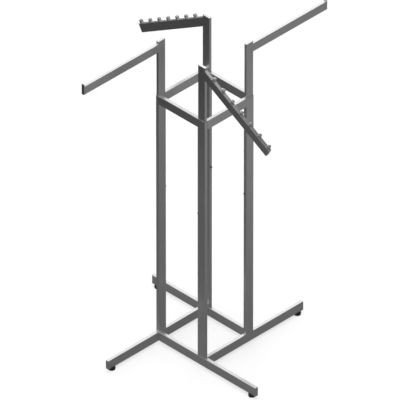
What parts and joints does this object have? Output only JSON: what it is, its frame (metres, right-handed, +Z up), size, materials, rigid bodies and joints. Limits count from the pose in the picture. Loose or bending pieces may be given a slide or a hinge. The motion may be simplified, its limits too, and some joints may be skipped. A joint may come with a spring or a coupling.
{
  "type": "clothing rack",
  "caption": "Floor-standing clothing rack with a square column of height-adjustable posts, straight and waterfall arms with pegs, and levelling glides on a pinwheel base.",
  "frame": {"origin": "on the floor at the centre of the square column", "axes": "+Z up; +X along the front waterfall arm and the front leg; +Y along the right straight arm and the right leg"},
  "size_m": [0.9568, 1.062, 1.4115],
  "materials": {
    "frame_tube": "satin",
    "sliding_tube": "satin",
    "pegs": "satin",
    "end_caps": "satin",
    "zinc_steel": "zinc plated",
    "spring_steel": "polished",
    "button_steel": "gunmetal",
    "black_plastic": "matt"
  },
  "bodies": {
    "frame": {"base_rail_front": "frame_tube", "upright_front": "frame_tube", "top_rail_front": "frame_tube", "leg_cap_front": "end_caps", "glide_nut_front": "zinc_steel", "base_rail_right": "frame_tube", "upright_right": "frame_tube", "top_rail_right": "frame_tube", "leg_cap_right": "end_caps", "glide_nut_right": "zinc_steel", "base_rail_back": "frame_tube", "upright_back": "frame_tube", "top_rail_back": "frame_tube", "leg_cap_back": "end_caps", "glide_nut_back": "zinc_steel", "base_rail_left": "frame_tube", "upright_left": "frame_tube", "top_rail_left": "frame_tube", "leg_cap_left": "end_caps", "glide_nut_left": "zinc_steel"},
    "glide_front": {"glide_pad_front": "black_plastic", "glide_stud_front": "zinc_steel"},
    "arm_unit_front": {"post_front": "sliding_tube", "post_cap_front": "end_caps", "arm_front": "sliding_tube", "arm_cap_front": "end_caps", "pegs_front": "pegs", "button_spring_front": "spring_steel"},
    "button_front_body": {"button_front": "button_steel"},
    "glide_right": {"glide_pad_right": "black_plastic", "glide_stud_right": "zinc_steel"},
    "arm_unit_right": {"post_right": "sliding_tube", "post_cap_right": "end_caps", "arm_right": "sliding_tube", "end_plate_right": "sliding_tube", "button_spring_right": "spring_steel"},
    "button_right_body": {"button_right": "button_steel"},
    "glide_back": {"glide_pad_back": "black_plastic", "glide_stud_back": "zinc_steel"},
    "arm_unit_back": {"post_back": "sliding_tube", "post_cap_back": "end_caps", "arm_back": "sliding_tube", "arm_cap_back": "end_caps", "pegs_back": "pegs", "button_spring_back": "spring_steel"},
    "button_back_body": {"button_back": "button_steel"},
    "glide_left": {"glide_pad_left": "black_plastic", "glide_stud_left": "zinc_steel"},
    "arm_unit_left": {"post_left": "sliding_tube", "post_cap_left": "end_caps", "arm_left": "sliding_tube", "end_plate_left": "sliding_tube", "button_spring_left": "spring_steel"},
    "button_left_body": {"button_left": "button_steel"}
  },
  "joints": [
    {"name": "post_slide_front", "type": "slide", "parent": "frame", "child": "arm_unit_front", "axis": [0, 0, 1], "range_m": [-0.15, 0.3]},
    {"name": "button_press_front", "type": "slide", "parent": "arm_unit_front", "child": "button_front_body", "axis": [1, 0, 0], "range_m": [0, 0.008], "stiffness_N_per_m": 1200, "springref_m": -0.004, "deforming": ["button_spring_front"]},
    {"name": "glide_lift_front", "type": "slide", "parent": "frame", "child": "glide_front", "axis": [0, 0, -1], "range_m": [0, 0.006]},
    {"name": "post_slide_right", "type": "slide", "parent": "frame", "child": "arm_unit_right", "axis": [0, 0, 1], "range_m": [-0.15, 0.3]},
    {"name": "button_press_right", "type": "slide", "parent": "arm_unit_right", "child": "button_right_body", "axis": [0, 1, 0], "range_m": [0, 0.008], "stiffness_N_per_m": 1200, "springref_m": -0.004, "deforming": ["button_spring_right"]},
    {"name": "glide_lift_right", "type": "slide", "parent": "frame", "child": "glide_right", "axis": [0, 0, -1], "range_m": [0, 0.006]},
    {"name": "post_slide_back", "type": "slide", "parent": "frame", "child": "arm_unit_back", "axis": [0, 0, 1], "range_m": [-0.15, 0.3]},
    {"name": "button_press_back", "type": "slide", "parent": "arm_unit_back", "child": "button_back_body", "axis": [-1, 0, 0], "range_m": [0, 0.008], "stiffness_N_per_m": 1200, "springref_m": -0.004, "deforming": ["button_spring_back"]},
    {"name": "glide_lift_back", "type": "slide", "parent": "frame", "child": "glide_back", "axis": [0, 0, -1], "range_m": [0, 0.006]},
    {"name": "post_slide_left", "type": "slide", "parent": "frame", "child": "arm_unit_left", "axis": [0, 0, 1], "range_m": [-0.15, 0.3]},
    {"name": "button_press_left", "type": "slide", "parent": "arm_unit_left", "child": "button_left_body", "axis": [0, -1, 0], "range_m": [0, 0.008], "stiffness_N_per_m": 1200, "springref_m": -0.004, "deforming": ["button_spring_left"]},
    {"name": "glide_lift_left", "type": "slide", "parent": "frame", "child": "glide_left", "axis": [0, 0, -1], "range_m": [0, 0.006]}
  ]
}
